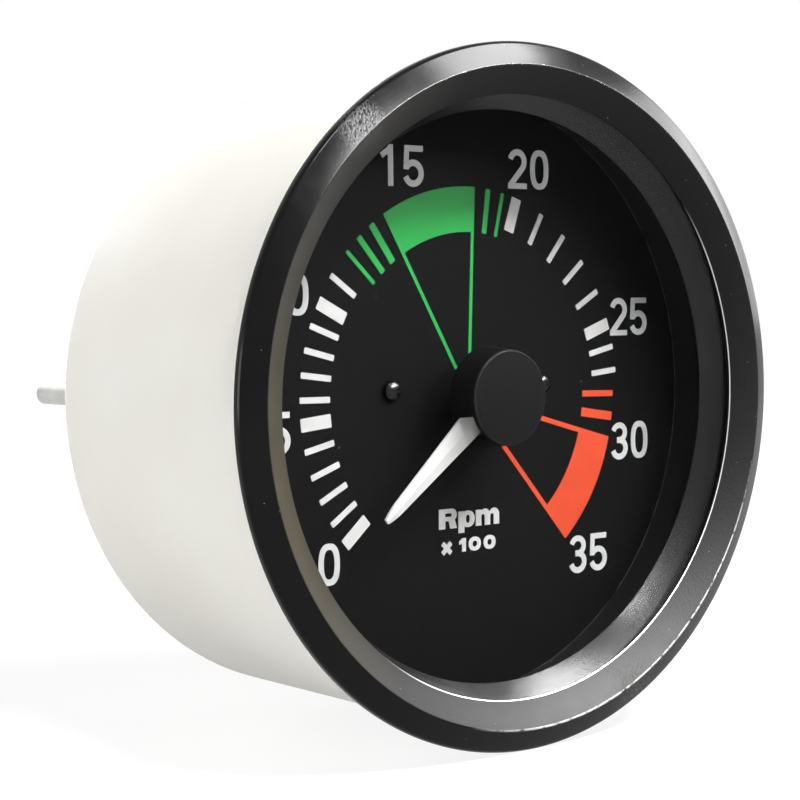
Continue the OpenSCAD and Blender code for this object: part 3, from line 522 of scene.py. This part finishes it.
def cap_plastic():
    """Matt black moulding: fine grain, a few pale grains of dust, and an edge polished by handling, whose
    colour is also painted lighter as a highlight.
    """
    material, place = new_finish("cap_black", {"Specular IOR Level": 0.03})
    rim = place.radius().step(rim_polish_and_sheen[0] * mm, rim_polish_and_sheen[1] * mm)
    side = place.along("Y").step(side_polish_and_sheen[0] * mm, side_polish_and_sheen[1] * mm)
    # The front edge is smoother, as if polished, and its colour is painted lighter all round: a painted
    # highlight.
    edge = rim * (1 - side)
    grains = place.specks(700, size=0.10, share=0.10)
    shade = place.noise(160, detail=3).colour(linear(16, 16, 16), linear(22, 22, 22))
    return feed(material, {
        "Base Color": (grains * 0.8 + edge * 0.12).clamp().colour(shade, dust_grey),
        "Roughness": 0.55 - 0.33 * edge,
        "Normal": place.noise(4200, detail=1).bump(0.01 * mm),
    })


stands_for(hub, cap_plastic(), "pointer", "hub_cap")

# A sleeve cut from thin tube holds the dial at its distance behind the ring. It is painted
# matt black, and the dial has rubbed its rear edge bare in a hair line.
tube = Reach("dial_sleeve")
rubbed_line = (tube.rear - 0.16, tube.rear - 0.1)


def sleeve_paint():
    """Thin matt black paint, rubbed off in a hair line where the dial touches it."""
    material, place = new_finish("sleeve_black", {"Specular IOR Level": 0.1})
    behind = place.along("Y").step(rubbed_line[0] * mm, rubbed_line[1] * mm)
    rubbed = behind * place.noise(300).step(0.35, 0.6)
    shade = place.noise(60, detail=3, stretch=(1, 4, 1)).colour(linear(22, 22, 22), linear(31, 31, 31))
    grains = place.specks(420, size=0.09, share=0.08)
    return feed(material, {
        "Base Color": (rubbed * 0.7 + grains * 0.5).clamp().colour(shade, dust_grey),
        "Metallic": rubbed * 0.6,
        "Roughness": 0.5 + 0.1 * place.noise(500),
        "Normal": place.noise(2600, detail=1).bump(0.008 * mm),
    })


sleeve = spun("spacer_sleeve", [
    (tube.outer, tube.front), (tube.inner, tube.front), (tube.inner, tube.rear), (tube.outer, tube.rear)])
stands_for(sleeve, sleeve_paint(), "case", "dial_sleeve")

# The ring that slopes in from the glass is spun from thin sheet. It is smooth satin black,
# with the fine marks of its spinning round it, and is held between the gasket and the sleeve.
ring_sheet = Reach("inner_ring")
rubber = Reach("glass_gasket")
line_pitch = 0.22 * mm


def ring_paint():
    """Smooth satin paint over turned sheet: faint lines round the ring, wipes and pale dust."""
    material, place = new_finish("ring_satin", {"Specular IOR Level": 0.26})
    lines = place.radius().wave(line_pitch)
    wipes = place.noise(200, detail=3)
    grains = place.specks(800, size=0.07, share=0.05)
    shade = wipes.colour(linear(12, 12, 12), linear(22, 22, 23))
    return feed(material, {
        "Base Color": (grains * 0.6).colour(shade, dust_grey),
        "Roughness": 0.21 + 0.06 * wipes,
        "Normal": (0.15 * lines + place.noise(1300)).bump(0.004 * mm),
    })


slope_top = (rubber.inner - 0.2, ring_sheet.front)
slope_foot = (ring_sheet.inner, 4.3)
foot_back = (ring_sheet.inner + 0.2, 4.75)
foot_round = 0.12
slope_back = (46.7, tube.front)
ring = spun("sloping_ring", [
    (ring_sheet.outer, rubber.rear), (rubber.inner, rubber.rear), slope_top,
    *bend(slope_top, slope_foot, foot_back, foot_round, 3),
    foot_back, slope_back, (ring_sheet.outer, tube.front),
])
stands_for(ring, ring_paint(), "case", "inner_ring")

# The gasket is a flat ring cut from black rubber sheet. The rolled bezel squeezes it between
# the glass and the ring.
dress(moulded("gasket_rubber", linear(20, 20, 20), linear(28, 28, 28), 0.7), "glass_gasket")

# The glass is flat clear float glass. Its coating leaves only a faint reflection, and a few
# grains of dust lie on it.
pane = Reach("glass")


def coated_glass():
    """Clear glass that is nearly all see-through, with pale dust on it."""
    material, place = new_finish("clear_glass", {"Roughness": 0.04, "Specular IOR Level": 0.5, "IOR": 1.5})
    coarse = place.specks(360, size=0.036, share=0.2)
    fine = place.specks(900, size=0.04, share=0.04)
    dust = (coarse + fine).clamp()
    return feed(material, {
        "Alpha": 0.03 + 0.3 * dust,
        "Base Color": dust.colour((0, 0, 0, 1), linear(190, 190, 188)),
    })


glass = spun("front_glass", [
    (0, pane.front), (pane.outer, pane.front), (pane.outer, pane.rear), (0, pane.rear)], closed=False)
stands_for(glass, coated_glass(), "case", "glass")

# The bezel is spun from thin steel sheet and painted black: a grained cone round the glass, a
# sharp crest, a smoother sloping face and a rounded rim whose hem is rolled under the can's
# flange. The paint is worn to bright steel on the lower crest and on the lip at the glass.
rolled = Reach("bezel")
sheet = 0.6
lip = (rolled.inner, pane.front)
lip_corner = (rolled.inner - 0.02, -0.62)
lip_top = (rolled.inner + 0.12, -0.62)
crest = (49.4, -3.2)
shoulder = (rolled.outer, -1.6)
heel = (rolled.outer, 0.0)
hem = (50.9, 0.0)
lip_back = (46.4, pane.front)
lip_round = 0.06
crest_round = 0.35
shoulder_round = 0.9
heel_round = 0.5
bezel = spun("rolled_bezel", [
    lip,
    *bend(lip, lip_corner, crest, lip_round, 3),
    *bend(lip_top, crest, shoulder, crest_round, 10),
    *bend(crest, shoulder, heel, shoulder_round, 14),
    *bend(shoulder, heel, hem, heel_round, 6),
    hem, (hem[0], -sheet), (rolled.outer - sheet, -sheet),
    (rolled.outer - sheet, shoulder[1] + 0.2),
    (crest[0], crest[1] + sheet), lip_back,
])


def bezel_paint():
    """Satin black over steel: a grained cone with a painted brownish reflection at its left, smooth and
    worn outside.
    """
    material, place = new_finish("bezel_satin", {"Specular IOR Level": 0.12})
    radius = place.radius()
    height = place.towards((0, 0, 1))
    outside = radius.step((crest[0] - 0.1) * mm, (crest[0] + 0.1) * mm)

    lower_crest = place.towards((0.5, 0, -0.866)).step(34 * mm, 44 * mm)
    breaks = place.noise(900).step(0.3, 0.5)
    upper_crest = height.step(36 * mm, 47 * mm)
    chips = place.noise(3200, detail=1).step(0.62, 0.72) * upper_crest * 0.45
    top_of_crest = (0 - place.along("Y")).step(3.1 * mm, 3.14 * mm)
    crest_worn = top_of_crest * (lower_crest * breaks + chips).clamp()

    lower_right = place.towards((0.72, 0, -0.69)).step(4 * mm, 14.4 * mm)
    lip_edge = 1 - radius.step((lip[0] + 0.06) * mm, (lip[0] + 0.15) * mm)
    bare = (crest_worn + lip_edge * lower_right).clamp()

    scratches = place.noise(3600, detail=4, stretch=(1, 1, 0.5)).step(0.42, 0.72)
    upper_scuff = place.spot((-32.4 * mm, -2.2 * mm, 38.9 * mm), 4.5 * mm)
    lower_scuff = place.spot((20.8 * mm, -2.3 * mm, -46.8 * mm), 6 * mm)
    scuff = ((upper_scuff + lower_scuff * 0.7) * 1.6).clamp() * scratches

    grains = place.specks(900, size=0.08, share=0.10) + place.specks(300, size=0.035, share=0.12)
    wipes = place.noise(240, detail=4, stretch=(1, 0.3, 1))
    grit = place.noise(2300)
    black = wipes.colour(linear(5, 5, 5), linear(12, 12, 12))
    dusty = (grains * 0.5 + scuff * 0.3).clamp().colour(black, dust_grey)

    # Painted reflection: the cone's left side is painted a lighter brownish grey, browner lower down,
    # standing in for a warm room reflected in it.
    left = place.towards((-1, 0, 0.15)).step(20 * mm, 46 * mm)
    painted_reflection_at_left = left * (1 - outside) * (0.45 + 0.25 * wipes)
    painted_reflection_tint = height.step(-10 * mm, 30 * mm).colour(linear(92, 84, 64), linear(84, 83, 80))
    painted_roughness = 0.42 - 0.28 * outside + 0.08 * wipes + 0.25 * scuff
    return feed(material, {
        "Base Color": bare.colour(painted_reflection_at_left.colour(dusty, painted_reflection_tint), linear(206, 206, 203)),
        "Metallic": bare * 0.9,
        "Roughness": painted_roughness * (1 - bare) + 0.3 * bare,
        "Normal": (grit * (1 - 0.75 * outside) + scuff).bump(0.02 * mm),
    })


stands_for(bezel, bezel_paint(), "case", "bezel")

# Behind: two zinc-plated studs with washers and nuts, a moulded terminal block with tinned
# brass blades, a rubber plug, and two twist-in lamp holders with bulbs.
holder_edge = 0.3 * mm
zinc = metal("zinc_plate", linear(160, 160, 157), linear(184, 184, 180), 0.3, (1, 0.2, 1))
smoothed("rear_studs", "studs", zinc)
smoothed("stud_washers", "washers", zinc, edge=0.12 * mm)
smoothed("stud_nuts", "nuts", zinc, edge=0.2 * mm)
smoothed("terminal_block", "block_and_rim",
         moulded("block_black", linear(28, 28, 29), linear(36, 36, 37), 0.45), edge=0.25 * mm)
smoothed("spade_terminals", "terminals",
         metal("tinned_brass", linear(186, 176, 140), linear(206, 198, 164), 0.28), edge=0.12 * mm)
smoothed("calibration_plug", "plug",
         moulded("plug_rubber", linear(24, 24, 24), linear(32, 32, 32), 0.65), edge=0.3 * mm)
holder_black = moulded("holder_black", linear(26, 26, 27), linear(34, 34, 35), 0.45)
smoothed("lamp_holder_top", "holder_top", holder_black, edge=holder_edge)
smoothed("lamp_holder_bottom", "holder_bottom", holder_black, edge=holder_edge)


def bulb_glass():
    """Warm milky glass with a slightly uneven gloss."""
    material, place = new_finish("bulb_glass", {
        "Base Color": linear(236, 228, 200), "Coat Weight": 0.5, "Specular IOR Level": 0.5})
    return feed(material, {"Roughness": 0.08 + 0.1 * place.noise(300)})


dress(bulb_glass(), "bulb_top", "bulb_bottom")

# The table is a wide pale floor under the rim. Near the part it is lit and shadowed as paper
# is, and farther out it turns into the white of the background.
floor_size = 8
paper_near = 0.12
paper_far = 0.6
paper_glow = 0.84
paper_seen = (0.26, 0.26, 0.26, 1)
paper_bounce = (0.5, 0.5, 0.49, 1)


def in_view(tree):
    """1 where the camera, a reflection or the glass sees this, and 0 where it only lights the part."""
    path = Wire(tree.nodes.new("ShaderNodeLightPath").outputs["Is Camera Ray"])
    mirrored = path.math("MAXIMUM", path.beside("Is Glossy Ray"))
    return mirrored.math("MAXIMUM", path.beside("Is Transmission Ray"))


def table_paper():
    """Pale paper near the part, which glows white farther out."""
    material = bpy.data.materials.new("floor_paper")
    material.use_nodes = True
    tree = material.node_tree
    tree.nodes.clear()
    place = Wire(tree.nodes.new("ShaderNodeTexCoord").outputs["Object"])
    away = place.vector("LENGTH", (0, 0, 0), "Value")
    seen = in_view(tree)
    glow = away.ramp((paper_near, paper_glow), (paper_far, 1.0)) * seen
    lit = place.node("ShaderNodeBsdfDiffuse", {}, {"Color": seen.colour(paper_bounce, paper_seen)})
    light = place.node("ShaderNodeEmission", {}, {"Color": (1, 1, 1, 1), "Strength": glow})
    both = place.node("ShaderNodeAddShader", {}, {0: lit, 1: light})
    output = tree.nodes.new("ShaderNodeOutputMaterial")
    tree.links.new(both.socket, output.inputs["Surface"])
    return material


bpy.ops.object.select_all(action="DESELECT")
bpy.ops.mesh.primitive_plane_add(size=floor_size, location=(0, 0, cad_low.z))
floor = bpy.context.active_object
floor.name = "floor"
floor.data.materials.append(table_paper())

# The background is a plain white backdrop without an edge. It is white to the camera and in
# reflections, and lights the part more softly.
room_light = 0.12
world = bpy.data.worlds.new("studio")
bpy.context.scene.world = world
world.use_nodes = True
background = world.node_tree.nodes["Background"]
background.inputs["Color"].default_value = (1, 1, 1, 1)
strength = room_light + (1 - room_light) * in_view(world.node_tree)
world.node_tree.links.new(strength.socket, background.inputs["Strength"])

# The main lamp stands high on the right and a smaller one above the dial, both without
# gloss. Weaker boxes light the can from its left, its right and behind. The cards show only
# in gloss, where they draw the sheen of the bezel and the ring.
lamp_distance = 0.75
watts_per_radiance = 4


def soft_box(name, towards, width, height, radiance, distance=lamp_distance):
    """A soft rectangular lamp, that far from the part in a direction and facing it."""
    data = bpy.data.lights.new(name, "AREA")
    data.shape = "RECTANGLE"
    data.size = width
    data.size_y = height
    data.energy = radiance * watts_per_radiance * width * height
    lamp = bpy.data.objects.new(name, data)
    bpy.context.scene.collection.objects.link(lamp)
    lamp.location = Vector(towards).normalized() * distance
    lamp.rotation_mode = "QUATERNION"
    lamp.rotation_quaternion = Vector(towards).to_track_quat("Z", "Y")
    lamp.visible_camera = False
    return lamp


upper_right = soft_box("upper_right", (0.30, -0.50, 0.80), width=0.26, height=0.165, radiance=35.5)
above = soft_box("above", (-0.10, -0.58, 0.81), width=0.10, height=0.085, radiance=80)
for lamp in (upper_right, above):
    lamp.visible_glossy = False
soft_box("left", (-0.97, 0.22, 0.02), width=0.5, height=0.30, radiance=5.8, distance=0.7)
soft_box("right", (0.96, 0.10, 0.23), width=0.4, height=0.28, radiance=1.5)
soft_box("behind", (0.15, 0.97, 0.2), width=0.5, height=0.36, radiance=4, distance=0.8)
cards = [
    soft_box("gloss_card", (0.51, -0.46, 0.72), width=0.26, height=0.165, radiance=35),
    soft_box("gloss_card", (-0.10, -0.58, 0.81), width=0.20, height=0.12, radiance=56),
    soft_box("gloss_card", (0.93, -0.20, 0.31), width=0.32, height=0.30, radiance=6),
    soft_box("gloss_card", (0.80, -0.40, 0.44), width=0.24, height=0.10, radiance=24),
    soft_box("gloss_card", (0.42, -0.71, 0.56), width=0.50, height=0.10, radiance=130),
    soft_box("gloss_card", (0.24, -0.83, 0.50), width=0.26, height=0.10, radiance=46),
]
for card in cards:
    card.visible_diffuse = False

# The camera stands left of the dial, nearly level with it, at the photograph's distance. It
# is turned right towards the dial, tipped down a little and held slightly askew.
camera_place = Vector((-0.19400, -0.20903, 0.01424))
turned_right = radians(39.07397)
tipped_down = radians(2.87567)
askew = radians(-0.59033)
camera_data = bpy.data.cameras.new("camera")
camera_data.sensor_width = 36
camera_data.lens = 85.33
camera_data.clip_start = 0.01
camera = bpy.data.objects.new("camera", camera_data)
bpy.context.scene.collection.objects.link(camera)
sight = Matrix.Rotation(-turned_right, 4, "Z") @ Matrix.Rotation(pi / 2 - tipped_down, 4, "X")
camera.matrix_world = Matrix.Translation(camera_place) @ sight @ Matrix.Rotation(askew, 4, "Z")
bpy.context.scene.camera = camera
bpy.context.scene.view_settings.view_transform = "Standard"
